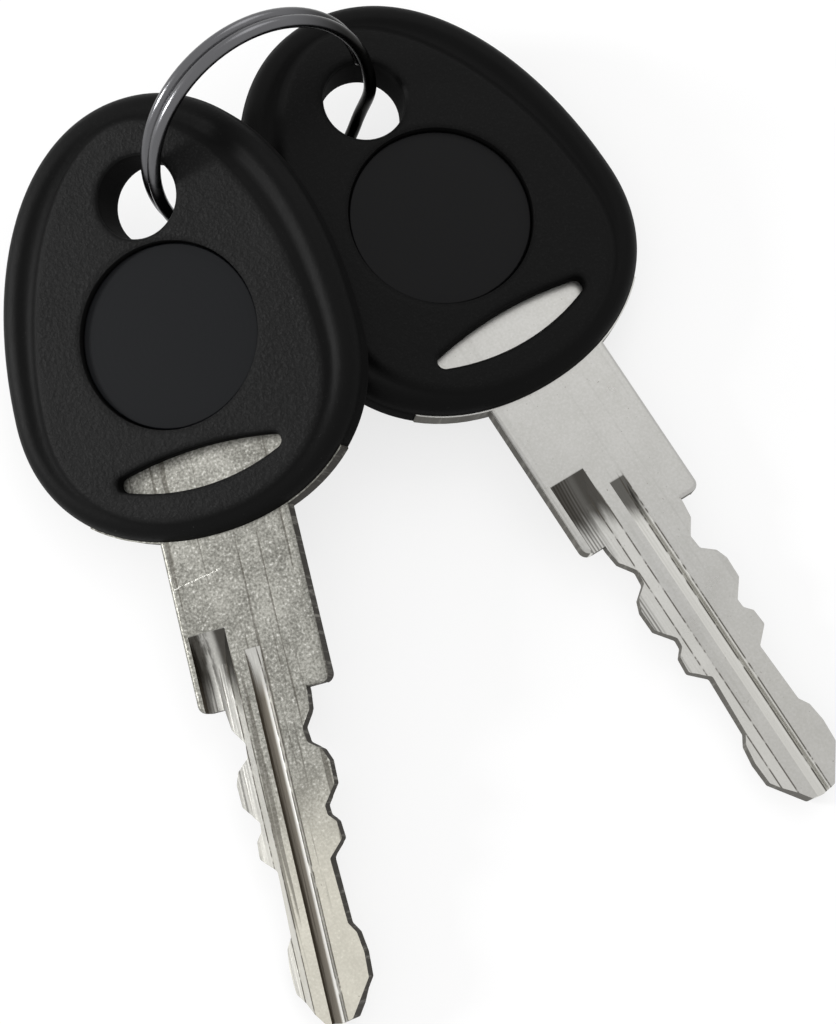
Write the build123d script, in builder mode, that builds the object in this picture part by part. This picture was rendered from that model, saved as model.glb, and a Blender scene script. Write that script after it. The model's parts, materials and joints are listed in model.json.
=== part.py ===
from build123d import *
from math import acos, cos, radians, sin, sqrt
import os

# Two alike vehicle keys with moulded heads, lying on a table, joined by one split ring.
# Each key is drawn in a frame of its own: the middle of its inlay disc is the origin,
# +Y runs to the ring hole, -Y to the tip, and +Z out of the front face.
# The two finished keys and the ring are then laid down as they rest on a flat surface.
# Lengths are in millimetres and angles in degrees.

# Moulded head
bow_top = 18.9                # from the disc's middle up to the head's top
bow_bottom = -15.25
bow_half_width = 14.0
bow_widest_y = -3.0
bow_upper_fullness = 0.585    # how far the outline's handles reach, 0.55 being a round arc
bow_lower_fullness = 0.60
bow_thickness = 4.4           # over the two raised pads
pad_rise = 0.55               # of each pad over the valley around it
rim_drop = 0.3                # from the pad down to the crest of the rim
rim_radius = 1.3              # rounding of the head's outer edge
rim_crest_width = 1.5         # from the outline to where the valley begins
rim_slope_width = 0.6         # from the crest down to the valley's floor

# Raised pad
pad_top = 16.5
pad_bottom = -13.7
pad_half_width = 11.0
pad_widest_y = -4.0
pad_upper_fullness = 0.52
pad_lower_fullness = 0.60
pad_slope_width = 0.8         # of the flank around the pad

# Ring hole, disc recess and window in the head
hole_y = 10.85
hole_diameter = 6.3
hole_lip = 0.4
inlay_diameter = 14.0
inlay_thickness = 0.5
inlay_depth = 0.5             # of the disc's face under the pad
inlay_gap = 0.12              # round the disc, in its recess
inlay_edge = 0.12
window_y = -9.7
window_length = 15.7          # between its pointed ends, before they are rounded
window_upper_rise = 1.05
window_lower_drop = 1.95
window_corner = 0.6
window_lip = 0.35             # rounding of its edge in the pad

# Metal blank inside and below the head
blank_offset = 0.35           # of the blank's middle line, right of the head's
blank_thickness = 1.7
tang_half_width = 10.3
tang_top = 5.5
tang_corner = 4.0
tang_hole_diameter = 6.0      # the moulding runs through it
tang_hole_y = -1.0
tang_proud = 0.08             # of the blank's shoulders beyond the head's outline
shank_half_width = 5.25
shank_corner = 0.7
shank_edge_radius = 0.3       # along the edges of its two faces
shoulder_y = -27.9
tip_y = -52.1

# Bitting, the same on both edges: distance below the shoulder, and half width there
bitting = [
    (0.3, 3.4), (1.6, 3.25), (2.8, 2.4), (3.9, 2.5), (4.7, 3.5), (5.6, 3.85), (7.3, 3.8),
    (8.7, 2.7), (9.4, 2.75), (10.0, 3.3), (11.3, 3.4), (12.5, 2.15), (17.3, 2.35),
    (18.1, 2.85), (19.6, 3.05), (21.4, 2.95), (24.0, 1.05),
]
bitting_radius = 0.3

# Milled grooves, the same on the back when the blade is turned over its long axis
wide_groove_left = -4.7
wide_groove_width = 3.0
wide_groove_depth = 0.6
wide_groove_bevel = 0.7
wide_groove_start = -22.0
deep_part_width = 1.5         # of the wide groove, along its left wall
deep_part_depth = 0.72
deep_part_bevel = 0.15        # up to the rest of the groove's floor
narrow_groove_left = -0.6
narrow_groove_width = 1.25
narrow_groove_depth = 0.45
narrow_groove_bevel = 0.35
narrow_groove_start = -24.0
cutter_radius = 14.0

# Split ring: two turns of round wire, with one strand alone at the step between them
ring_outer_diameter = 20.0
wire_diameter = 1.0
turn_gap = 0.06
step_half_angle = 14.0        # of the slanting stretch between the two turns
end_angle = 22.0              # from the step's middle to each cut end

# How the lot lies
lower_turn = 33.5             # of the lower key, counterclockwise from a blade along -Y
lower_pitch = 4.3             # head up
lower_roll = -5.9             # right side up
upper_turn = 14.4
upper_roll = 19.0
chord_direction = 212.7       # from the lower key's hole to the upper key's, in plan
ring_centre_offset = 2.40     # of the ring's centre from the line between the two holes
wire_room = 1.55              # left across the lower hole when the ring has tipped over
rest_gap = 0.1                # between the two heads
upper_wire_shift = 0.37       # where the wire bears, as a share of the hole's radius
upper_wire_side = -21.0       # and in which direction from the hole's middle
lower_wire_shift = 0.27
lower_wire_side = 35.0


blade_face_z = blank_thickness / 2


def egg(top, bottom, half_width, widest_y, upper_fullness, lower_fullness):
    """The head's kind of outline: four smooth curves between its top, sides and bottom."""
    with BuildSketch() as outline:
        with BuildLine():
            Bezier(
                (0, top),
                (upper_fullness * half_width, top),
                (half_width, widest_y + upper_fullness * (top - widest_y)),
                (half_width, widest_y),
            )
            Bezier(
                (half_width, widest_y),
                (half_width, widest_y + lower_fullness * (bottom - widest_y)),
                (lower_fullness * half_width, bottom),
                (0, bottom),
            )
            mirror(about=Plane.YZ)
        make_face()
    return outline.sketch


def head_outline(inset):
    """The head's outline, drawn in by the inset all round."""
    return egg(
        bow_top - inset,
        bow_bottom + inset,
        bow_half_width - inset,
        bow_widest_y,
        bow_upper_fullness,
        bow_lower_fullness,
    )


def pad_outline(outset):
    """The raised pad's outline, drawn out by the outset all round."""
    return egg(
        pad_top + outset,
        pad_bottom - outset,
        pad_half_width + outset,
        pad_widest_y,
        pad_upper_fullness,
        pad_lower_fullness,
    )


def milled_groove(floor, start):
    """Room for one groove in the blade's front face, with the cutter's curved run-out.

    The floor runs from the left wall to the right, each point a place across and a depth.
    """
    over = blank_thickness
    depth = max(below for across, below in floor)
    run_out = sqrt(2 * cutter_radius * depth - depth ** 2)
    with BuildPart() as groove:
        with BuildSketch(Plane.XZ.offset(-start)):
            with BuildLine():
                Polyline(
                    (blank_offset + floor[0][0], blade_face_z + over),
                    *[(blank_offset + across, blade_face_z - below) for across, below in floor],
                    (blank_offset + floor[-1][0], blade_face_z + over),
                    close=True,
                )
            make_face()
        extrude(amount=start - 2 * tip_y)
        with BuildSketch(Plane.YZ):
            with BuildLine():
                ramp = TangentArc(
                    (start - run_out, blade_face_z - depth),
                    (start, blade_face_z),
                    tangent=(1, 0),
                )
                Polyline(
                    ramp @ 1,
                    (start, blade_face_z + over),
                    (2 * tip_y, blade_face_z + over),
                    (2 * tip_y, blade_face_z - depth),
                    ramp @ 0,
                )
            make_face()
        extrude(amount=bow_half_width, both=True, mode=Mode.INTERSECT)
    return groove.part


# Metal blank: tang, shank and bitted blade in one piece
blank_plane = Plane((blank_offset, 0, 0))
wide_groove_right = wide_groove_left + wide_groove_width
narrow_groove_right = narrow_groove_left + narrow_groove_width
wide_groove_floor = [
    (wide_groove_left, deep_part_depth),
    (wide_groove_left + deep_part_width, deep_part_depth),
    (wide_groove_left + deep_part_width + deep_part_bevel, wide_groove_depth),
    (wide_groove_right - wide_groove_bevel, wide_groove_depth),
    (wide_groove_right, 0),
]
narrow_groove_floor = [
    (narrow_groove_left, narrow_groove_depth),
    (narrow_groove_right - narrow_groove_bevel, narrow_groove_depth),
    (narrow_groove_right, 0),
]

with BuildPart() as shank:
    with BuildSketch(blank_plane):
        with Locations((0, shoulder_y)):
            Rectangle(
                2 * shank_half_width, tang_hole_y - shoulder_y, align=(Align.CENTER, Align.MIN)
            )
    extrude(amount=blade_face_z, both=True)
    shoulder_corners = shank.edges().filter_by(Axis.Z).group_by(Axis.Y)[0]
    fillet(shoulder_corners, shank_corner)
    shank_faces = shank.faces().sort_by(Axis.Z)
    fillet(shank_faces[0].edges() + shank_faces[-1].edges(), shank_edge_radius)

with BuildPart() as blade:
    with BuildSketch(blank_plane):
        with Locations((-blank_offset, 0)):
            add(head_outline(-tang_proud))
        with Locations((0, tang_top)):
            Rectangle(
                2 * tang_half_width,
                tang_top - 2 * bow_bottom,
                align=(Align.CENTER, Align.MAX),
                mode=Mode.INTERSECT,
            )
    extrude(amount=blade_face_z, both=True)
    tang_top_corners = blade.edges().filter_by(Axis.Z).group_by(Axis.Y)[-1]
    fillet(tang_top_corners, tang_corner)
    add(shank.part)
    with BuildSketch(blank_plane) as bitted:
        right_edge = [(half, shoulder_y - below) for below, half in bitting]
        left_edge = [(-x, y) for x, y in reversed(right_edge)]
        with BuildLine():
            Polyline(
                (0, shoulder_y + shank_corner),
                (right_edge[0][0], shoulder_y + shank_corner),
                *right_edge,
                (0, tip_y),
                *left_edge,
                (-right_edge[0][0], shoulder_y + shank_corner),
                close=True,
            )
        make_face()
        fillet(bitted.vertices().filter_by(lambda v: v.Y < shoulder_y), bitting_radius)
    extrude(amount=blade_face_z, both=True)
    with Locations((blank_offset, tang_hole_y, 0)):
        Hole(tang_hole_diameter / 2)
    for groove in (
        milled_groove(wide_groove_floor, wide_groove_start),
        milled_groove(narrow_groove_floor, narrow_groove_start),
    ):
        add(groove, mode=Mode.SUBTRACT)
        back_groove = groove.rotate(Axis((blank_offset, 0, 0), (0, 1, 0)), 180)
        add(back_groove, mode=Mode.SUBTRACT)

# Moulded head, alike on both faces but for the disc, which is on the front
pad_z = bow_thickness / 2
rim_z = pad_z - rim_drop
valley_z = pad_z - pad_rise

with BuildPart() as head_slab:
    extrude(head_outline(0), amount=rim_z, both=True)
    outer_edges = head_slab.edges().group_by(Axis.Z)
    fillet(outer_edges[0] + outer_edges[-1], rim_radius)

with BuildPart() as valley:
    add(Plane.XY.offset(valley_z) * head_outline(rim_crest_width + rim_slope_width))
    add(Plane.XY.offset(rim_z) * head_outline(rim_crest_width))
    loft()
    mirror(about=Plane.XY)

with BuildPart() as pads:
    add(Plane.XY.offset(valley_z) * pad_outline(pad_slope_width))
    add(Plane.XY.offset(pad_z) * pad_outline(0))
    loft()
    mirror(about=Plane.XY)

with BuildPart() as bow:
    add(head_slab.part)
    add(valley.part, mode=Mode.SUBTRACT)
    add(pads.part)
    with Locations((0, hole_y, 0)):
        Hole(hole_diameter / 2)
    hole_edges = bow.edges().filter_by(GeomType.CIRCLE).filter_by(
        lambda e: abs(e.radius - hole_diameter / 2) < 0.001 and abs(abs(e.center().Z) - pad_z) < 0.001
    )
    fillet(hole_edges, hole_lip)
    with BuildSketch(Plane.XY.offset(pad_z)):
        Circle(inlay_diameter / 2 + inlay_gap)
    extrude(amount=-(inlay_depth + inlay_thickness), mode=Mode.SUBTRACT)
    with BuildSketch() as window:
        with BuildLine():
            window_left = (-window_length / 2, window_y)
            window_right = (window_length / 2, window_y)
            SagittaArc(window_left, window_right, window_upper_rise)
            SagittaArc(window_left, window_right, -window_lower_drop)
        make_face()
        fillet(window.vertices(), window_corner)
    extrude(amount=pad_z, both=True, mode=Mode.SUBTRACT)
    window_edges = bow.edges(Select.LAST).filter_by(lambda e: abs(abs(e.center().Z) - pad_z) < 0.001)
    fillet(window_edges, window_lip)
    add(blade.part, mode=Mode.SUBTRACT)

# Disc let into the front of the head
with BuildPart() as inlay:
    with BuildSketch(Plane.XY.offset(pad_z - inlay_depth - inlay_thickness)):
        Circle(inlay_diameter / 2)
    extrude(amount=inlay_thickness)
    fillet(inlay.edges().group_by(Axis.Z)[-1], inlay_edge)

# Split ring, drawn flat with its step across the X axis
ring_radius = ring_outer_diameter / 2 - wire_diameter / 2
turn_pitch = wire_diameter + turn_gap


def on_ring(angle, height):
    """A point on the wire's middle line."""
    return Vector(
        ring_radius * cos(radians(angle)), ring_radius * sin(radians(angle)), height
    )


with BuildPart() as ring:
    with BuildLine() as wire_path:
        ThreePointArc(
            on_ring(end_angle, -turn_pitch / 2),
            on_ring(180, -turn_pitch / 2),
            on_ring(-step_half_angle, -turn_pitch / 2),
        )
        Spline(
            on_ring(-step_half_angle, -turn_pitch / 2),
            on_ring(0, 0),
            on_ring(step_half_angle, turn_pitch / 2),
            tangents=(on_ring(90 - step_half_angle, 0), on_ring(90 + step_half_angle, 0)),
        )
        ThreePointArc(
            on_ring(step_half_angle, turn_pitch / 2),
            on_ring(180, turn_pitch / 2),
            on_ring(-end_angle, turn_pitch / 2),
        )
    start_plane = Plane(wire_path.line @ 0, z_dir=wire_path.line % 0)
    with BuildSketch(start_plane):
        Circle(wire_diameter / 2)
    sweep(path=wire_path.line)


def turned(turn, pitch, roll):
    """A key's attitude: turned in plan, its head raised, its right side raised."""
    return (
        Location((0, 0, 0), (0, 0, turn))
        * Location((0, 0, 0), (pitch, 0, 0))
        * Location((0, 0, 0), (0, -roll, 0))
    )


def seen_from(place, point):
    """Where a point of a placed piece lies on the table."""
    return (place * Location(point)).position


def zero_crossing(error, low, high):
    """The value at which a rising error passes zero, found by halving."""
    for _ in range(30):
        middle = (low + high) / 2
        if error(middle) < 0:
            low = middle
        else:
            high = middle
    return (low + high) / 2


# The lower key's tip is on the table, and the ring holds its head just clear of it
steepest_pitch = 20
steepest_tip = 60
hole_radius = hole_diameter / 2
hole_middle = Vector(0, hole_y, 0)
lower_lying = turned(lower_turn, lower_pitch, lower_roll)
lower_lowest = min(
    blade.part.moved(lower_lying).bounding_box().min.Z,
    bow.part.moved(lower_lying).bounding_box().min.Z,
)
lower_place = Location((0, 0, -lower_lowest)) * lower_lying
lower_wire_point = hole_middle + Vector(lower_wire_shift * hole_radius, 0, 0).rotate(
    Axis.Z, lower_wire_side
)
lower_crossing = seen_from(lower_place, lower_wire_point)

# The upper key's tip is on the table, and its head on the lower key's head
upper_wire_point = hole_middle + Vector(upper_wire_shift * hole_radius, 0, 0).rotate(
    Axis.Z, upper_wire_side
)
ring_chord = 2 * sqrt(ring_radius ** 2 - ring_centre_offset ** 2)
blade_under_edge = [Vector(blank_offset, tip_y, -blade_face_z)] + [
    Vector(blank_offset + side * half, shoulder_y - below, -blade_face_z)
    for below, half in bitting
    for side in (-1, 1)
]


def upper_place_at(pitch):
    """The upper key with its tip on the table and its hole one chord from the other hole."""
    lying = turned(upper_turn, pitch, upper_roll)
    lowest = min(seen_from(lying, point).Z for point in blade_under_edge)
    wire_point = seen_from(lying, upper_wire_point)
    rise = wire_point.Z - lowest - lower_crossing.Z
    reach = Vector(sqrt(ring_chord ** 2 - rise ** 2), 0, rise).rotate(Axis.Z, chord_direction)
    return Location(lower_crossing + reach - wire_point) * lying


def head_gap_at(pitch):
    """Room between the lower head and the plane of the upper head's back pad."""
    lower_head_seen = bow.part.moved(upper_place_at(pitch).inverse() * lower_place)
    return -pad_z - lower_head_seen.bounding_box().max.Z


upper_pitch = zero_crossing(lambda pitch: head_gap_at(pitch) - rest_gap, 0, steepest_pitch)
upper_place = upper_place_at(upper_pitch)
upper_crossing = seen_from(upper_place, upper_wire_point)

# The ring stands through both holes, tipped over as far as the holes let it
chord = (upper_crossing - lower_crossing).normalized()
lower_normal = lower_place.z_axis.direction
upper_normal = upper_place.z_axis.direction
upright = lower_normal + upper_normal
upright = (upright - chord * upright.dot(chord)).normalized()


def ring_plane_at(tip):
    """The ring's plane when it is tipped about the chord, with its step at the lower hole."""
    rise = upright.rotate(Axis((0, 0, 0), chord), tip)
    centre = (lower_crossing + upper_crossing) / 2 + rise * ring_centre_offset
    return Plane(centre, x_dir=lower_crossing - centre, z_dir=rise.cross(chord))


def crossing_room(plane, crossing, normal, strands):
    """Room left across a hole by the strands that lean through it."""
    along_wire = plane.z_dir.cross(crossing - plane.origin).normalized()
    lean = acos(min(1, abs(along_wire.dot(normal))))
    strands_width = wire_diameter + (strands - 1) * turn_pitch
    return hole_diameter * cos(lean) - bow_thickness * sin(lean) - strands_width


def least_room(tip):
    plane = ring_plane_at(tip)
    return min(
        crossing_room(plane, lower_crossing, lower_normal, 1),
        crossing_room(plane, upper_crossing, upper_normal, 2),
    )


ring_tip = zero_crossing(lambda tip: wire_room - least_room(tip), 0, steepest_tip)
ring_place = ring_plane_at(ring_tip).location

# Everything is moved so that the origin lies under the middle of the lot
pieces = {
    "lower_key_blade": blade.part.moved(lower_place),
    "lower_key_bow": bow.part.moved(lower_place),
    "lower_key_inlay": inlay.part.moved(lower_place),
    "upper_key_blade": blade.part.moved(upper_place),
    "upper_key_bow": bow.part.moved(upper_place),
    "upper_key_inlay": inlay.part.moved(upper_place),
    "split_ring": ring.part.moved(ring_place),
}
box = Compound(list(pieces.values())).bounding_box()
to_origin = Location((-box.center().X, -box.center().Y, -box.min.Z))

os.makedirs("parts", exist_ok=True)
for name, piece in pieces.items():
    piece = piece.moved(to_origin)
    piece.label = name
    export_step(piece, f"parts/{name}.step")
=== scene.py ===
"""Two black-headed vehicle keys on a split ring, dressed for the picture around their solids."""

import json
from functools import partial
from math import pi

import bpy
from bpy.props import FloatProperty, FloatVectorProperty, PointerProperty
from mathutils import Matrix, Vector


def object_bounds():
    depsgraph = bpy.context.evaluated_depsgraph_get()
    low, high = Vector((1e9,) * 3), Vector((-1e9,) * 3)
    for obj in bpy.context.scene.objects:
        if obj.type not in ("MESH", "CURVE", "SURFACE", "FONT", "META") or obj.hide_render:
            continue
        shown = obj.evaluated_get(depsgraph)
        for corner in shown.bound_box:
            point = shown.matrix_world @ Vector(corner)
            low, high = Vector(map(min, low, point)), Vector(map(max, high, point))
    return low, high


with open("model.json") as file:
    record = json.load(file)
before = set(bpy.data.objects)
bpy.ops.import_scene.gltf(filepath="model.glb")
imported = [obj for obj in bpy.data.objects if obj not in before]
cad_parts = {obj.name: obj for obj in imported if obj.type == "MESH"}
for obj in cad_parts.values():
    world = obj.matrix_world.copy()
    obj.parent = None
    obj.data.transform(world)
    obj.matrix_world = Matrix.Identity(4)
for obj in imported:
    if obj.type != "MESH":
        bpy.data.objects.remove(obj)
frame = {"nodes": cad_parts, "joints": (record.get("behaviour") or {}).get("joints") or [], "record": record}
cad_low, cad_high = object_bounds()

bl_info = {
    "name": "Keys on a split ring",
    "version": (1, 0, 0),
    "blender": (4, 5, 0),
    "location": "View3D > Sidebar > Keys",
    "description": "Finishes a pair of vehicle keys on their split ring and sets their stage",
    "category": "Object",
}

MM = 0.001
PICTURE_SENSOR = 36.0

# Places of the Mix node's sockets: its share, then its two numbers or its two colours
MIX_SHARE = 0
MIX_NUMBERS = (2, 3)
MIX_COLOURS = (6, 7)
MIXED_COLOUR = 2

# The photograph's camera: where it stands in mm, which way it looks, and its up
CAMERA_PLACE = Vector((1.17, -55.74, 206.74))
CAMERA_LOOKS = Vector((-0.0042, 0.2601, -0.9656))
CAMERA_UP = Vector((-0.0114, 0.9655, 0.2601))
CAMERA_CLIP = (0.01, 20.0)

# Square lamps: name, place from the middle of the keys and side in metres, and watts
LAMPS = (
    ("soft_back", Vector((0.1, 0.4, 0.45)), 0.35, 0.6),
    ("low_left", Vector((-0.45, 0.02, 0.16)), 0.1, 1.6),
)
FLOOR_SIDE = 4.0

# A key's own frame, in mm: the middle of the disc is its origin, +Y runs to the ring hole, and
# both faces are alike, so heights are taken from the middle plane
SHOULDER_AT = Vector((0.35, -27.9, 0.0))
PAD_FACE = 2.2
PAD_EDGE = (PAD_FACE - 0.28, PAD_FACE - 0.02)
BLADE_FACE = 0.85
BELOW_FACE = (BLADE_FACE - 0.003, BLADE_FACE - 0.03)

# The two grooves: their sides, how wide their sloping sides are, and where they begin
WIDE_GROOVE = (-4.35, -1.35)
NARROW_GROOVE = (-0.25, 1.0)
GROOVE_SLOPES = (0.7, 0.35)
DEEP_PART_END = -2.9
WIDE_GROOVE_START = -22.0
NARROW_GROOVE_START = -24.0
EDGE = 0.1

# Where the wear lies on a blade, and the painted shade at the grooves' starts and edges
TIP_RUBBED = (-31.0, -44.0)
SCRATCH_SPAN = (-4.5, -0.7)
SCRATCH_Y = (-17.7, -17.67)
SCRATCH_SLOPE = 0.15
SCRATCH_SOFT = 0.07
FILM_AND_SHADE_RAGGED = 2.4
WIDE_FILM_AND_SHADE_END = (WIDE_GROOVE_START - 4.2, WIDE_GROOVE_START - 1.8)
NARROW_FILM_AND_SHADE_END = (NARROW_GROOVE_START - 3.0, NARROW_GROOVE_START - 0.6)
FILM_AND_SHADE_WORN_OFF = (WIDE_GROOVE[0] + 1.1, WIDE_GROOVE[0] + 1.7)
GREASE_SIDE = (0.5, 0.3)
GREASE_START = (NARROW_GROOVE_START - 1.0, NARROW_GROOVE_START - 4.0)
EDGE_SHADE_START = (WIDE_GROOVE_START - 1.6, WIDE_GROOVE_START - 2.6)
EDGE_SHADE_HALF_WIDTH = 0.03
EDGE_SHADE_SOFT = 0.04

# From the ring's middle towards the lower key, in mm: from light wire to dark
WIRE_DARKENS = (0.0, 6.0)

# Cells of the patterns that are drawn out one way: their lengths along X, Y and Z, in mm
DRAWN_LINES = (0.588, 20.0, 0.588)
FILM_AND_SHADE_STREAKS = (0.325, 2.857, 0.714)
CUTTER_STREAKS = (0.3125, 12.5, 0.3125)
EDGE_SHADE_BREAKS = (2.0, 1.111, 2.0)
TEAR_MARKS = (0.3846, 0.3846, 3.333)

# How dense each coat lies at most
SPARKLE_DENSITY = 0.6
LINE_DENSITY = 0.6
PIT_DENSITY = 0.6
SCRATCH_DENSITY = 0.7
TIP_DENSITY = 0.7
FILM_AND_SHADE_DENSITY = 0.92
GREASE_DENSITY = 0.85
RIDGE_DENSITY = 0.7
EDGE_SHADE_DENSITY = 0.85
CROWN_HIGHLIGHT_DENSITY = 0.5
DUST_DENSITY = 0.12

record = frame["record"]
mounts = {mount["name"]: mount for mount in record["mounts"]}
joints = {joint["name"]: joint for joint in frame["joints"]}


def linear(hex_colour):
    """The linear colour, with its alpha, of an sRGB hex value such as #2a2a2a."""
    channels = [int(hex_colour[i : i + 2], 16) / 255 for i in (1, 3, 5)]
    return (
        *(c / 12.92 if c <= 0.04045 else ((c + 0.055) / 1.055) ** 2.4 for c in channels),
        1.0,
    )


def colour(hex_colour, name, description):
    """A colour property with its default given in hex."""
    return FloatVectorProperty(
        name=name,
        description=description,
        default=linear(hex_colour),
        subtype="COLOR",
        size=4,
        min=0,
        max=1,
    )


def share(default, name, description):
    """A property from 0 to 1."""
    return FloatProperty(
        name=name, description=description, default=default, min=0, max=1, subtype="FACTOR"
    )


def length(millimetres, name, description):
    """A length property with its default given in millimetres."""
    return FloatProperty(
        name=name,
        description=description,
        default=millimetres * MM,
        min=0.001 * MM,
        max=100 * MM,
        precision=5,
        unit="LENGTH",
    )


class KeyMetalLook(bpy.types.PropertyGroup):
    """Finish of the two nickel-plated blades."""

    upper_plate: colour("#a5a49d", "Upper plate", "Bright specks of the tumbled upper blade")
    upper_dull: colour("#66655f", "Upper dull", "Dull specks between them")
    lower_plate: colour("#b5b4b1", "Lower plate", "Smooth plate of the lower blade")
    lower_dull: colour("#acaba7", "Lower dull", "Its faint clouds")
    rubbed: colour("#d0ccbf", "Rubbed tip", "Paler, warmer plate towards the worn blade's tip")
    fresh: colour("#d4d3ce", "Fresh metal", "Groove floors, sparkles and scratches, rubbed bright")
    brown: colour("#5c5345", "Brown film", "Old grease along the narrow groove's left side")
    # Painted shade: the stamped sides' cut metal is coloured dark as if it lay in shade
    cut: colour("#3b3833", "Cut metal", "Stamped sides, where the plate is thin")
    torn: colour("#97958e", "Torn metal", "Lighter tear marks in the stamped sides")
    # Painted shade where the grooves begin, and the colour of the cutter's ridges
    stain_and_shade: colour("#2c2924", "Stain", "Grey-brown film where the grooves begin")
    # Colour of the dark drawing lines, and of the painted shade along the grooves' edges
    grime_and_edge_shade: colour("#45413a", "Grime", "Dark lines along the grooves' sloping sides")
    pit: colour("#6b675f", "Pits", "Small dark pits and long drawing lines")
    upper_roughness: share(0.36, "Upper roughness", "Roughness of the tumbled upper blade")
    lower_roughness: share(0.28, "Lower roughness", "Roughness of the smoother lower blade")
    upper_wear: share(1.0, "Upper wear", "How much the upper blade has been used")
    lower_wear: share(0.1, "Lower wear", "How much the lower blade has been used")
    speck_width: length(0.2, "Speck width", "Width of the specks that tumbling leaves")
    sparkle_width: length(0.2, "Sparkle width", "Width of the few bright specks among them")
    cloud_width: length(2.9, "Cloud width", "Width of the soft clouds in the plate")
    pit_width: length(0.3, "Pit width", "Width of the pits")
    ridge_pitch: length(0.25, "Ridge pitch", "From ridge to ridge of the cutter's marks")
    relief_depth: length(0.04, "Relief depth", "Depth of specks, ridges and tear marks")


class MouldingLook(bpy.types.PropertyGroup):
    """Finish of the two moulded heads and their discs."""

    upper_pad: colour("#181818", "Upper pad", "Grained pad of the upper key")
    upper_rim: colour("#070707", "Upper rim", "Smooth valley and rim of the upper key")
    lower_pad: colour("#080808", "Lower pad", "Finer pad of the lower key")
    lower_rim: colour("#040404", "Lower rim", "Smooth valley and rim of the lower key")
    upper_disc: colour("#101113", "Upper disc", "Satin disc of the upper key")
    lower_disc: colour("#0c0c0d", "Lower disc", "Satin disc of the lower key")
    # Painted highlights on the tops of the leather grain
    crown_highlight: colour("#2e2e2e", "Crowns", "Tops of the leather grain, rubbed paler")
    dust: colour("#8a8a88", "Dust", "Specks of dust in the grain")
    upper_grain: share(1.0, "Upper grain", "How strong the leather grain is on the upper key")
    lower_grain: share(0.3, "Lower grain", "How strong it is on the lower key")
    cell_width: length(0.4, "Cell width", "Width of a cell of the leather grain")
    fine_width: length(0.18, "Fine width", "Width of the finer roughness in the cells")
    grain_depth: length(0.1, "Grain depth", "Depth of the leather grain")
    drift_width: length(6.0, "Drift width", "Width of the slow changes in the pad's tone")
    dust_width: length(0.14, "Dust width", "Width of the specks of dust")
    edge_radius: length(0.8, "Edge radius", "How round the mould's sharp edges look in the light")
    turning_pitch: length(0.5, "Turning pitch", "From mark to mark of the disc's turning")
    turning_depth: length(0.01, "Turning depth", "Depth of the disc's turning marks")


class RingLook(bpy.types.PropertyGroup):
    """Finish of the split ring."""

    wire: colour("#646466", "Wire", "Nickel plate on spring steel wire")
    # The wire's darker colour towards the lower key
    dark: colour("#222221", "Dark wire", "Where the plate has gone dull, towards the lower key")
    roughness: share(0.22, "Roughness", "Roughness along the drawn wire")
    line_width: length(0.11, "Line width", "Width of the drawing lines that follow the wire")
    line_depth: length(0.02, "Line depth", "Depth of the drawing lines")
    cloud_width: length(1.25, "Cloud width", "Width of the clouds in the wire's roughness")
    edge_radius: length(0.3, "Edge radius", "How round the wire's facets look in the light")


class StageLook(bpy.types.PropertyGroup):
    """Floor, lamps and camera."""

    floor: colour("#ffffff", "Floor", "Plain white floor and background")
    lift: share(0.75, "Lift", "How far the floor is lifted to white where it is seen")
    daylight: share(0.8, "Daylight", "Strength of the white room's light on the keys")
    lens: FloatProperty(
        name="Lens",
        description="Focal length of the camera",
        default=98.44,
        min=20,
        max=400,
        unit="CAMERA",
    )


def add_node(tree, kind, inputs=(), output=0, **settings):
    """Adds one node with its settings and links, and gives one of its outputs, or all for None.

    The inputs go by their order, or by name or place in a dict. Each is a value, or the output
    of another node that feeds it.
    """
    node = tree.nodes.new("ShaderNode" + kind)
    for name, value in settings.items():
        setattr(node, name, value)
    for place, value in inputs.items() if isinstance(inputs, dict) else enumerate(inputs):
        if isinstance(value, bpy.types.NodeSocket):
            tree.links.new(value, node.inputs[place])
        else:
            node.inputs[place].default_value = value
    if output is None:
        return node.outputs
    return node.outputs[output] if node.outputs else None


def overlap(tree, *shares):
    """The share that several shares have in common, each a number or an output."""
    common = shares[0]
    for other in shares[1:]:
        common = add_node(tree, "Math", (common, other), operation="MULTIPLY")
    return common


def coated(tree, base, *coats):
    """Lays coats of colour over a base colour, each as dense as its share."""
    under, over = MIX_COLOURS
    for density, tone in coats:
        mixed = {MIX_SHARE: density, under: base, over: tone}
        base = add_node(tree, "Mix", mixed, MIXED_COLOUR, data_type="RGBA")
    return base


def band(tree, value, low, high, soft=EDGE):
    """A share of 1 between two places, which fades over a soft width outside them."""
    rise = add_node(tree, "MapRange", (value, low - soft, low), interpolation_type="SMOOTHSTEP")
    fall = add_node(
        tree, "MapRange", (value, high + soft, high), interpolation_type="SMOOTHSTEP"
    )
    return overlap(tree, rise, fall)


def wave_scale(pitch):
    """The scale at which Blender's Wave texture has its bands one pitch apart."""
    return pi * MM / (10 * pitch)


def cells(sizes):
    """The Mapping scales that give a pattern's cells these lengths in mm."""
    return tuple(1 / size for size in sizes)


def new_material(name):
    """An empty node material, and its tree."""
    material = bpy.data.materials.new(name)
    material.use_nodes = True
    material.node_tree.nodes.clear()
    return material, material.node_tree


def key_frame(side):
    """Rotation and origin of one key's own frame, from its blade mount and its hinge."""
    mount = mounts[f"{side}_blade"]
    up = Vector(joints[f"{side}_key_swing"]["axis"])
    if up.z < 0:
        up.negate()
    along = -Vector(mount["axis"])
    across = along.cross(up).normalized()
    rotation = Matrix((across, along, across.cross(along))).transposed()
    origin = Vector(mount["pos_m"]) - rotation @ (SHOULDER_AT * MM)
    return rotation, origin


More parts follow.
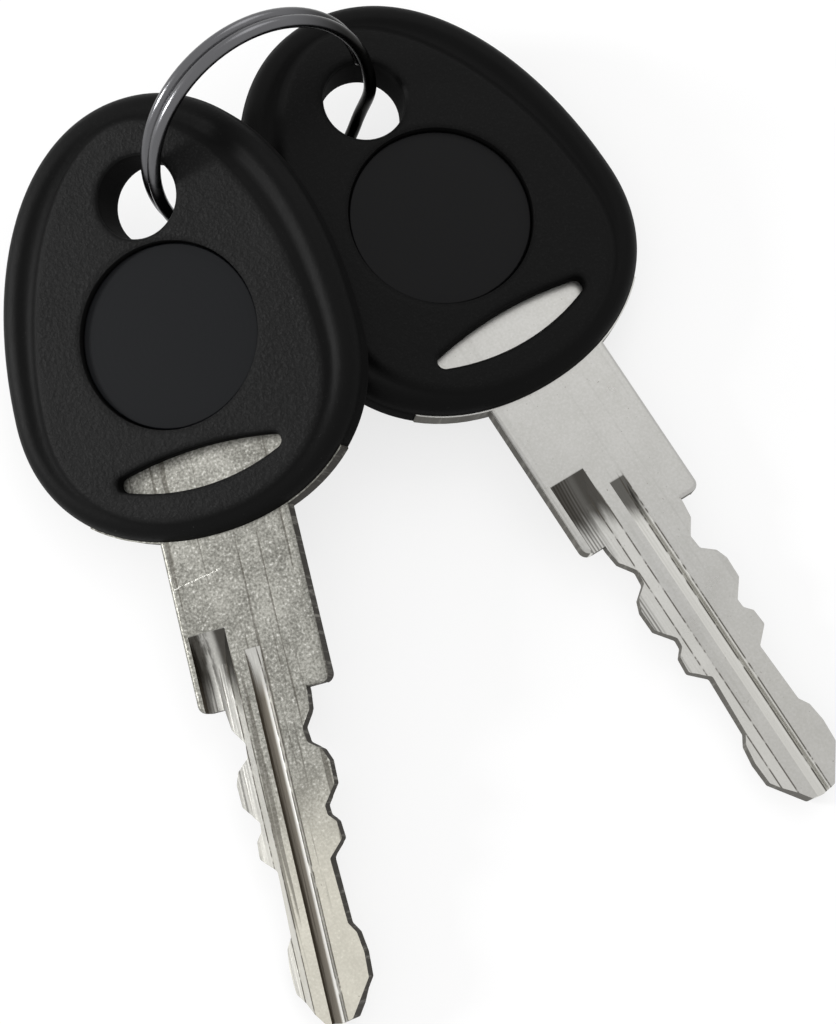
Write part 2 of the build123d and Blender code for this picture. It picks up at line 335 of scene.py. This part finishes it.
def ring_frame():
    """Rotation and origin of the ring's own frame, its axis along +Z."""
    mount = mounts["ring_loop"]
    axis = Vector(mount["axis"]).normalized()
    side = axis.orthogonal().normalized()
    rotation = Matrix((side, axis.cross(side), axis)).transposed()
    return rotation, Vector(mount["pos_m"])


def own_coordinates(tree, rotation, origin):
    """Millimetres in a piece's own frame, and the surface normal in that frame."""
    where = add_node(tree, "TexCoord", output=None)
    inverse = rotation.transposed()
    turn = inverse.to_euler("XYZ")
    place = {
        "Vector": where["Object"],
        "Scale": (1 / MM,) * 3,
        "Rotation": turn,
        "Location": -(inverse @ origin) / MM,
    }
    facing = {"Vector": where["Normal"], "Rotation": turn}
    point = add_node(tree, "Mapping", place, vector_type="POINT")
    normal = add_node(tree, "Mapping", facing, vector_type="VECTOR")
    return point, normal


def assign(node_name, material):
    """Gives one solid its finish."""
    piece = frame["nodes"][node_name]
    piece.data.materials.clear()
    piece.data.materials.append(material)


class FINISH_OT_blades(bpy.types.Operator):
    """Nickel-plated steel blades: rolled plate, milled grooves and cut edges"""

    bl_idname = "keys.finish_blades"
    bl_label = "Finish the blades"

    def execute(self, context):
        look = context.scene.key_metal
        assign("upper_key_blade", blade_nickel("upper", look, look.brown))
        assign("lower_key_blade", blade_nickel("lower", look, look.fresh))
        return {"FINISHED"}


def blade_nickel(side, look, wall):
    """Nickel plate over stamped steel: soft sheen, tumbling specks and long drawing lines."""
    plate, dull, roughness, wear = (
        getattr(look, f"{side}_{trait}") for trait in ("plate", "dull", "roughness", "wear")
    )
    material, tree = new_material(f"nickel_plated_steel_{side}_blade")
    add = partial(add_node, tree)
    point, normal = own_coordinates(tree, *key_frame(side))
    x, y, z = add("SeparateXYZ", (point,), None)
    facing = add("Math", (add("SeparateXYZ", (normal,), "Z"),), operation="ABSOLUTE")
    height = add("Math", (z,), operation="ABSOLUTE")

    # Where: the flat faces and the upright sides, the floors of the grooves and their walls
    flat = add("MapRange", (facing, 0.15, 0.5), interpolation_type="SMOOTHSTEP")
    upright = add("Math", (1.0, flat), operation="SUBTRACT")
    sunk = add("MapRange", (height, *BELOW_FACE), interpolation_type="SMOOTHSTEP")
    among_grooves = band(tree, x, WIDE_GROOVE[0] - EDGE, NARROW_GROOVE[1] + EDGE)
    in_groove = overlap(tree, flat, sunk, among_grooves)
    wide = add(
        "MapRange",
        (x, WIDE_GROOVE[1] + EDGE, WIDE_GROOVE[1] - EDGE),
        interpolation_type="SMOOTHSTEP",
    )
    narrow = add("Math", (1.0, wide), operation="SUBTRACT")
    narrow_walls = band(tree, x, NARROW_GROOVE[0] - 2 * EDGE, NARROW_GROOVE[1] + 2 * EDGE)
    wide_wall = band(tree, x, WIDE_GROOVE[0] - EDGE, WIDE_GROOVE[0] + EDGE)
    groove_wall = add("Math", (narrow_walls, wide_wall), operation="MAXIMUM")

    # Tumbled plate: specks, as coarse as the picture shows them, a few bright ones, soft clouds
    speckled = {"Vector": point, "Scale": MM / look.speck_width, "Detail": 4.0, "Roughness": 0.65}
    specks = add("TexNoise", speckled)
    cloudy = {"Vector": point, "Scale": MM / look.cloud_width, "Detail": 3.0, "Roughness": 0.6}
    clouds = add("TexNoise", cloudy)
    tone = add("Math", (clouds, 0.35, specks), operation="MULTIPLY_ADD")
    bright = add("MapRange", (tone, 0.44, 0.90), interpolation_type="SMOOTHSTEP")
    sparkling = {"Vector": point, "Scale": MM / look.sparkle_width, "Detail": 2.0}
    sparkle = add(
        "MapRange",
        (add("TexNoise", sparkling), 0.62, 0.74, 0.0, SPARKLE_DENSITY * wear),
        interpolation_type="SMOOTHSTEP",
    )
    # Long, thin drawing lines
    drawn_out = add("Mapping", {"Vector": point, "Scale": cells(DRAWN_LINES)})
    lines = add("TexNoise", {"Vector": drawn_out, "Scale": 1.0, "Detail": 2.0, "Roughness": 0.6})
    line_share = add(
        "MapRange", (lines, 0.56, 0.64, 0.0, LINE_DENSITY * wear), interpolation_type="SMOOTHSTEP"
    )
    pitted = {"Vector": point, "Scale": MM / look.pit_width, "Detail": 2.0, "Roughness": 0.6}
    pit_share = add(
        "MapRange",
        (add("TexNoise", pitted), 0.70, 0.76, 0.0, PIT_DENSITY),
        interpolation_type="SMOOTHSTEP",
    )
    # Towards its tip the worn blade is rubbed smooth by the lock
    tip_share = add(
        "MapRange", (y, *TIP_RUBBED, 0.0, TIP_DENSITY * wear), interpolation_type="SMOOTHSTEP"
    )
    # One light scratch runs slantwise over the shank of the worn blade
    level = add("Math", (x, -SCRATCH_SLOPE, y), operation="MULTIPLY_ADD")
    scratch = overlap(
        tree,
        band(tree, level, *SCRATCH_Y, SCRATCH_SOFT),
        band(tree, x, *SCRATCH_SPAN),
        add("MapRange", (specks, 0.4, 0.55)),
        add("Math", (z, 0.0), operation="GREATER_THAN"),
        SCRATCH_DENSITY * wear,
    )
    face = coated(
        tree,
        dull,
        (bright, plate),
        (sparkle, look.fresh),
        (tip_share, look.rubbed),
        (line_share, look.grime_and_edge_shade),
        (pit_share, look.pit),
        (scratch, look.fresh),
    )

    # Groove floors rub bright in the lock, above all the narrow one's
    floor_share = add("Math", (narrow, 0.35, 0.35 + 0.25 * wear), operation="MULTIPLY_ADD")
    rubbed = overlap(tree, floor_share, in_groove)
    # Painted shade, with some film, is thick on the ramp where a groove begins, and further down it breaks
    # up in streaks
    streaks = add("Mapping", {"Vector": point, "Scale": cells(FILM_AND_SHADE_STREAKS)})
    ragged = add("TexNoise", {"Vector": streaks, "Scale": 1.0, "Detail": 4.0, "Roughness": 0.6})
    film_and_shade_y = add("Math", (ragged, FILM_AND_SHADE_RAGGED, y), operation="MULTIPLY_ADD")
    wide_film_and_shade = add("MapRange", (film_and_shade_y, *WIDE_FILM_AND_SHADE_END), interpolation_type="SMOOTHSTEP")
    narrow_film_and_shade = add("MapRange", (film_and_shade_y, *NARROW_FILM_AND_SHADE_END), interpolation_type="SMOOTHSTEP")
    # On the worn blade it is left along the wide groove's two sides, and little in the narrow one
    middle = band(tree, x, *FILM_AND_SHADE_WORN_OFF, 0.5)
    kept = add("Math", (middle, -0.8 * wear, 1.0), operation="MULTIPLY_ADD")
    wide_film_and_shade = overlap(tree, wide_film_and_shade, wide, kept)
    narrow_film_and_shade = overlap(tree, narrow_film_and_shade, narrow, 1 - 0.75 * wear)
    film_and_shade = add("Math", (wide_film_and_shade, narrow_film_and_shade), operation="ADD")
    # Old grease lies along the left of the worn blade's narrow groove
    grease = overlap(
        tree,
        add("MapRange", (x, *GREASE_SIDE), interpolation_type="SMOOTHSTEP"),
        add("MapRange", (y, *GREASE_START), interpolation_type="SMOOTHSTEP"),
        narrow,
        in_groove,
        GREASE_DENSITY * wear,
    )
    # Ridges of the cutter in the deep part of the wide groove, evener on the fresh blade
    even = add(
        "TexWave",
        {
            "Vector": point,
            "Scale": wave_scale(look.ridge_pitch),
            "Distortion": 0.5,
            "Detail": 1.0,
            "Detail Scale": 0.4,
        },
        "Fac",
        wave_type="BANDS",
        bands_direction="X",
    )
    along = add("Mapping", {"Vector": point, "Scale": cells(CUTTER_STREAKS)})
    uneven = add("TexNoise", {"Vector": along, "Scale": 1.0, "Detail": 3.0, "Roughness": 0.6})
    uneven = add("MapRange", (uneven, 0.42, 0.6), interpolation_type="SMOOTHSTEP")
    ridges = add("Mix", {MIX_SHARE: 0.8 * wear, MIX_NUMBERS[0]: even, MIX_NUMBERS[1]: uneven})
    deep = add(
        "MapRange", (x, DEEP_PART_END + 0.15, DEEP_PART_END - 0.15), interpolation_type="SMOOTHSTEP"
    )
    # Painted shade in thin broken lines, at the foot and the top of each groove's sloping side
    grime_and_edge_shade = 0.0
    for edge in (
        WIDE_GROOVE[1],
        WIDE_GROOVE[1] - GROOVE_SLOPES[0],
        NARROW_GROOVE[1],
        NARROW_GROOVE[1] - GROOVE_SLOPES[1],
    ):
        beside = band(tree, x, edge - EDGE_SHADE_HALF_WIDTH, edge + EDGE_SHADE_HALF_WIDTH, EDGE_SHADE_SOFT)
        grime_and_edge_shade = add("Math", (grime_and_edge_shade, beside), operation="MAXIMUM")
    gaps = add("Mapping", {"Vector": point, "Scale": cells(EDGE_SHADE_BREAKS)})
    broken = add("TexNoise", {"Vector": gaps, "Scale": 1.0, "Detail": 3.0, "Roughness": 0.6})
    grime_and_edge_shade = overlap(
        tree,
        grime_and_edge_shade,
        add("MapRange", (broken, 0.34, 0.5), interpolation_type="SMOOTHSTEP"),
        add("MapRange", (y, *EDGE_SHADE_START)),
        EDGE_SHADE_DENSITY,
    )
    surface = coated(
        tree,
        face,
        (rubbed, look.fresh),
        # Painted shade, with some film, where the grooves begin
        (overlap(tree, film_and_shade, in_groove, FILM_AND_SHADE_DENSITY), look.stain_and_shade),
        (grease, look.brown),
        (overlap(tree, deep, in_groove, ridges, RIDGE_DENSITY), look.stain_and_shade),
        # Painted shade along the grooves' edges
        (grime_and_edge_shade, look.grime_and_edge_shade),
    )

    # Stamped sides: cut metal darkened with painted shade, with lighter tear marks that run through the
    # thickness
    through = add("Mapping", {"Vector": point, "Scale": cells(TEAR_MARKS)})
    tears = add("TexNoise", {"Vector": through, "Scale": 1.0, "Detail": 2.0, "Roughness": 0.6})
    tear_share = add(
        "MapRange", (tears, 0.5, 0.75, 0.3 - 0.3 * wear, 0.6), interpolation_type="SMOOTHSTEP"
    )
    sides = coated(tree, look.cut, (tear_share, look.torn), (groove_wall, wall))
    final = coated(tree, surface, (upright, sides))

    outer_side = overlap(tree, upright, add("Math", (1.0, groove_wall), operation="SUBTRACT"))
    rough = add("Math", (clouds, 0.16, roughness - 0.06), operation="MULTIPLY_ADD")
    rough = add("Math", (outer_side, 0.3, rough), operation="MULTIPLY_ADD")
    relief = add("Math", (specks, 0.5 * wear + 0.05), operation="MULTIPLY")
    for mark, depth in (
        (line_share, -0.5),
        (scratch, 0.8),
        (overlap(tree, ridges, in_groove), 0.8),
        (overlap(tree, tears, upright), 2.0),
    ):
        relief = add("Math", (mark, depth, relief), operation="MULTIPLY_ADD")
    bump = add("Bump", {"Height": relief, "Strength": 0.4, "Distance": look.relief_depth})
    shader = add(
        "BsdfPrincipled",
        {"Base Color": final, "Metallic": 1.0, "Roughness": rough, "Normal": bump},
    )
    add("OutputMaterial", (shader,))
    return material


class FINISH_OT_heads(bpy.types.Operator):
    """Moulded black heads: a fine leather grain on the pads and a smooth rim"""

    bl_idname = "keys.finish_heads"
    bl_label = "Finish the heads"

    def execute(self, context):
        look = context.scene.moulding
        for side in ("upper", "lower"):
            assign(f"{side}_key_bow", grained_abs(side, look))
            assign(f"{side}_key_inlay", satin_disc(side, look))
        return {"FINISHED"}


def grained_abs(side, look):
    """Black ABS from a spark-eroded mould: leather grain on the pad, plain satin on the rim."""
    pad, rim, grain = (getattr(look, f"{side}_{trait}") for trait in ("pad", "rim", "grain"))
    material, tree = new_material(f"grained_black_abs_{side}_head")
    add = partial(add_node, tree)
    point, normal = own_coordinates(tree, *key_frame(side))
    height = add("Math", (add("SeparateXYZ", (point,), "Z"),), operation="ABSOLUTE")
    facing = add("Math", (add("SeparateXYZ", (normal,), "Z"),), operation="ABSOLUTE")
    upright = add("MapRange", (facing, 0.5, 0.1), interpolation_type="SMOOTHSTEP")
    on_pad = add("MapRange", (height, *PAD_EDGE), interpolation_type="SMOOTHSTEP")

    # Leather grain: cells with a finer roughness in them, faint on the smooth rim
    celled = {"Vector": point, "Scale": MM / look.cell_width}
    humps = add("TexVoronoi", celled, "Distance", feature="F1")
    finer = {"Vector": point, "Scale": MM / look.fine_width, "Detail": 3.0, "Roughness": 0.6}
    fine = add("TexNoise", finer)
    leather = add("Math", (humps, 0.5, fine), operation="MULTIPLY_ADD")
    depth = add("Math", (on_pad, 0.85 * grain, 0.15 * grain), operation="MULTIPLY_ADD")
    rounded = add("Bevel", {"Radius": look.edge_radius}, samples=4)
    bump = add(
        "Bump",
        {
            "Height": overlap(tree, leather, depth),
            "Strength": 0.8,
            "Distance": look.grain_depth,
            "Normal": rounded,
        },
    )

    # The pad's tone drifts a little, the tops of its grain carry painted highlights, and dust sits in it
    drift = add("TexNoise", {"Vector": point, "Scale": MM / look.drift_width, "Detail": 3.0})
    drifted = add("MapRange", (drift, 0.3, 0.7, 0.0, 0.3 * grain), interpolation_type="SMOOTHSTEP")
    crown_highlights = add(
        "MapRange", (fine, 0.5, 0.72, 0.0, CROWN_HIGHLIGHT_DENSITY * grain), interpolation_type="SMOOTHSTEP"
    )
    dust = {"Vector": point, "Scale": MM / look.dust_width, "Detail": 2.0, "Roughness": 0.6}
    dusty = add(
        "MapRange",
        (add("TexNoise", dust), 0.70, 0.78, 0.0, DUST_DENSITY * grain),
        interpolation_type="SMOOTHSTEP",
    )
    tone = coated(
        tree,
        rim,
        (on_pad, coated(tree, pad, (drifted, rim))),
        # Painted highlights on the grain's tops
        (overlap(tree, crown_highlights, on_pad), look.crown_highlight),
        (dusty, look.dust),
    )
    # The walls of the hole and the window are left rough by the mould's pins
    satin = add("Math", (fine, 0.2, 0.38), operation="MULTIPLY_ADD")
    rough = add("Math", (upright, 0.45, satin), operation="MULTIPLY_ADD")
    shader = add(
        "BsdfPrincipled",
        {
            "Base Color": tone,
            "Roughness": rough,
            "IOR": 1.46,
            "Specular IOR Level": 0.09,
            "Normal": bump,
        },
    )
    add("OutputMaterial", (shader,))
    return material


def satin_disc(side, look):
    """Satin plastic disc: smooth and bluish black, with faint turning marks."""
    material, tree = new_material(f"satin_black_abs_{side}_disc")
    point, _ = own_coordinates(tree, *key_frame(side))
    # Real turning marks are too fine to show at this size, so these are drawn coarser
    rings = {
        "Vector": point,
        "Scale": wave_scale(look.turning_pitch),
        "Distortion": 0.8,
        "Detail": 2.0,
    }
    turning = add_node(tree, "TexWave", rings, "Fac", wave_type="RINGS", rings_direction="Z")
    relief = {"Height": turning, "Strength": 0.1, "Distance": look.turning_depth}
    bump = add_node(tree, "Bump", relief)
    shader = add_node(
        tree,
        "BsdfPrincipled",
        {
            "Base Color": getattr(look, f"{side}_disc"),
            "Roughness": 0.45,
            "Specular IOR Level": 0.1,
            "Normal": bump,
        },
    )
    add_node(tree, "OutputMaterial", (shader,))
    return material


class FINISH_OT_ring(bpy.types.Operator):
    """Polished split ring of drawn spring wire"""

    bl_idname = "keys.finish_ring"
    bl_label = "Finish the ring"

    def execute(self, context):
        assign("split_ring", drawn_wire(context.scene.ring_wire))
        return {"FINISHED"}


def drawn_wire(look):
    """Nickel-plated spring wire: lighter on one side and darker on the other, with drawing lines."""
    material, tree = new_material("nickel_plated_spring_wire")
    add = partial(add_node, tree)
    point, _ = own_coordinates(tree, *ring_frame())
    x, y, z = add("SeparateXYZ", (point,), None)
    # Lines that follow the wire depend only on the distance from the ring's axis and the height,
    # and are drawn coarser than the real ones, which are too fine to show
    radius = add("VectorMath", (add("CombineXYZ", (x, y)),), "Value", operation="LENGTH")
    section = add("CombineXYZ", (radius, z))
    lines = add("TexNoise", {"Vector": section, "Scale": MM / look.line_width, "Detail": 2.0})
    clouds = add("TexNoise", {"Vector": point, "Scale": MM / look.cloud_width, "Detail": 4.0})
    # The wire is coloured darker towards the lower key
    across = add("VectorMath", (point, ring_direction("lower")), "Value", operation="DOT_PRODUCT")
    darkened = add("MapRange", (across, *WIRE_DARKENS), interpolation_type="SMOOTHSTEP")
    rounded = add("Bevel", {"Radius": look.edge_radius}, samples=8)
    bump = add(
        "Bump",
        {"Height": lines, "Strength": 0.15, "Distance": look.line_depth, "Normal": rounded},
    )
    shader = add(
        "BsdfPrincipled",
        {
            "Base Color": coated(tree, look.wire, (darkened, look.dark)),
            "Metallic": 1.0,
            "Roughness": add("Math", (clouds, 0.2, look.roughness - 0.1), operation="MULTIPLY_ADD"),
            "Normal": bump,
        },
    )
    add("OutputMaterial", (shader,))
    return material


def ring_direction(side):
    """The direction from the ring's middle to one key's hole, in the ring's own frame."""
    rotation, middle = ring_frame()
    hole = Vector(joints[f"{side}_key_swing"]["pos_m"])
    return (rotation.transposed() @ (hole - middle)).normalized()


class STAGE_OT_build(bpy.types.Operator):
    """Pale floor, soft lamps and the camera of the picture"""

    bl_idname = "keys.build_stage"
    bl_label = "Build the stage"

    def execute(self, context):
        look = context.scene.stage_look
        build_floor(look)
        build_world(look)
        build_lamps()
        build_camera(look)
        context.scene.view_settings.view_transform = "Standard"
        return {"FINISHED"}


def background_seen(tree):
    """1 for rays that show the background: the camera's, and those off gloss or through glass."""
    path = add_node(tree, "LightPath", output=None)
    seen = path["Is Camera Ray"]
    for other in ("Is Glossy Ray", "Is Transmission Ray"):
        seen = add_node(tree, "Math", (seen, path[other]), operation="MAXIMUM")
    return seen


def build_floor(look):
    """A large plain floor, lifted towards white where it is seen, which keeps the soft shadow."""
    bpy.ops.mesh.primitive_plane_add(size=FLOOR_SIDE, location=(0, 0, 0))
    floor = bpy.context.object
    floor.name = "floor"
    material, tree = new_material("pale_floor")
    matt = {"Base Color": look.floor, "Roughness": 0.9, "Specular IOR Level": 0.0}
    shader = add_node(tree, "BsdfPrincipled", matt)
    glow = add_node(tree, "Emission", {"Color": look.floor, "Strength": 1.0})
    lift = overlap(tree, background_seen(tree), look.lift)
    mixed = add_node(tree, "MixShader", (lift, shader, glow))
    add_node(tree, "OutputMaterial", (mixed,))
    floor.data.materials.append(material)


def build_world(look):
    """White where it is seen past the floor, and a little less as light."""
    world = bpy.data.worlds.new("studio")
    bpy.context.scene.world = world
    world.use_nodes = True
    tree = world.node_tree
    tree.nodes.clear()
    strength = add_node(tree, "MapRange", (background_seen(tree), 0.0, 1.0, look.daylight, 1.0))
    back = add_node(tree, "Background", {"Color": look.floor, "Strength": strength})
    add_node(tree, "OutputWorld", (back,))


def build_lamps():
    """A broad soft lamp behind and a small one low on the left, which draws the rims' edges."""
    middle = (cad_low + cad_high) / 2
    for name, offset, side, power in LAMPS:
        data = bpy.data.lights.new(name, "AREA")
        data.energy = power
        data.size = side
        lamp = bpy.data.objects.new(name, data)
        bpy.context.scene.collection.objects.link(lamp)
        lamp.location = middle + offset
        lamp.rotation_euler = (-offset).to_track_quat("-Z", "Y").to_euler()


def build_camera(look):
    """The camera of the photograph: nearly overhead, tipped back from the tips' side."""
    data = bpy.data.cameras.new("camera")
    data.lens = look.lens
    data.sensor_width = PICTURE_SENSOR
    camera = bpy.data.objects.new("camera", data)
    bpy.context.scene.collection.objects.link(camera)
    right = CAMERA_LOOKS.cross(CAMERA_UP).normalized()
    rotation = Matrix((right, right.cross(CAMERA_LOOKS), -CAMERA_LOOKS)).transposed()
    camera.matrix_world = Matrix.Translation(CAMERA_PLACE * MM) @ rotation.to_4x4()
    data.clip_start, data.clip_end = CAMERA_CLIP
    bpy.context.scene.camera = camera


class KEYS_PT_panel(bpy.types.Panel):
    """Lists the finishes and the stage"""

    bl_idname = "KEYS_PT_panel"
    bl_label = "Keys on a ring"
    bl_space_type = "VIEW_3D"
    bl_region_type = "UI"
    bl_category = "Keys"

    def draw(self, context):
        for step in STEPS:
            self.layout.operator(step.bl_idname)


STEPS = (FINISH_OT_blades, FINISH_OT_heads, FINISH_OT_ring, STAGE_OT_build)
GROUPS = {
    "key_metal": KeyMetalLook,
    "moulding": MouldingLook,
    "ring_wire": RingLook,
    "stage_look": StageLook,
}


def register():
    for cls in (*GROUPS.values(), *STEPS, KEYS_PT_panel):
        bpy.utils.register_class(cls)
    for name, group in GROUPS.items():
        setattr(bpy.types.Scene, name, PointerProperty(type=group))


def unregister():
    for name in GROUPS:
        delattr(bpy.types.Scene, name)
    for cls in reversed((*GROUPS.values(), *STEPS, KEYS_PT_panel)):
        bpy.utils.unregister_class(cls)


def main():
    register()
    bpy.ops.keys.build_stage()
    bpy.ops.keys.finish_blades()
    bpy.ops.keys.finish_heads()
    bpy.ops.keys.finish_ring()


if __name__ == "__main__":
    main()
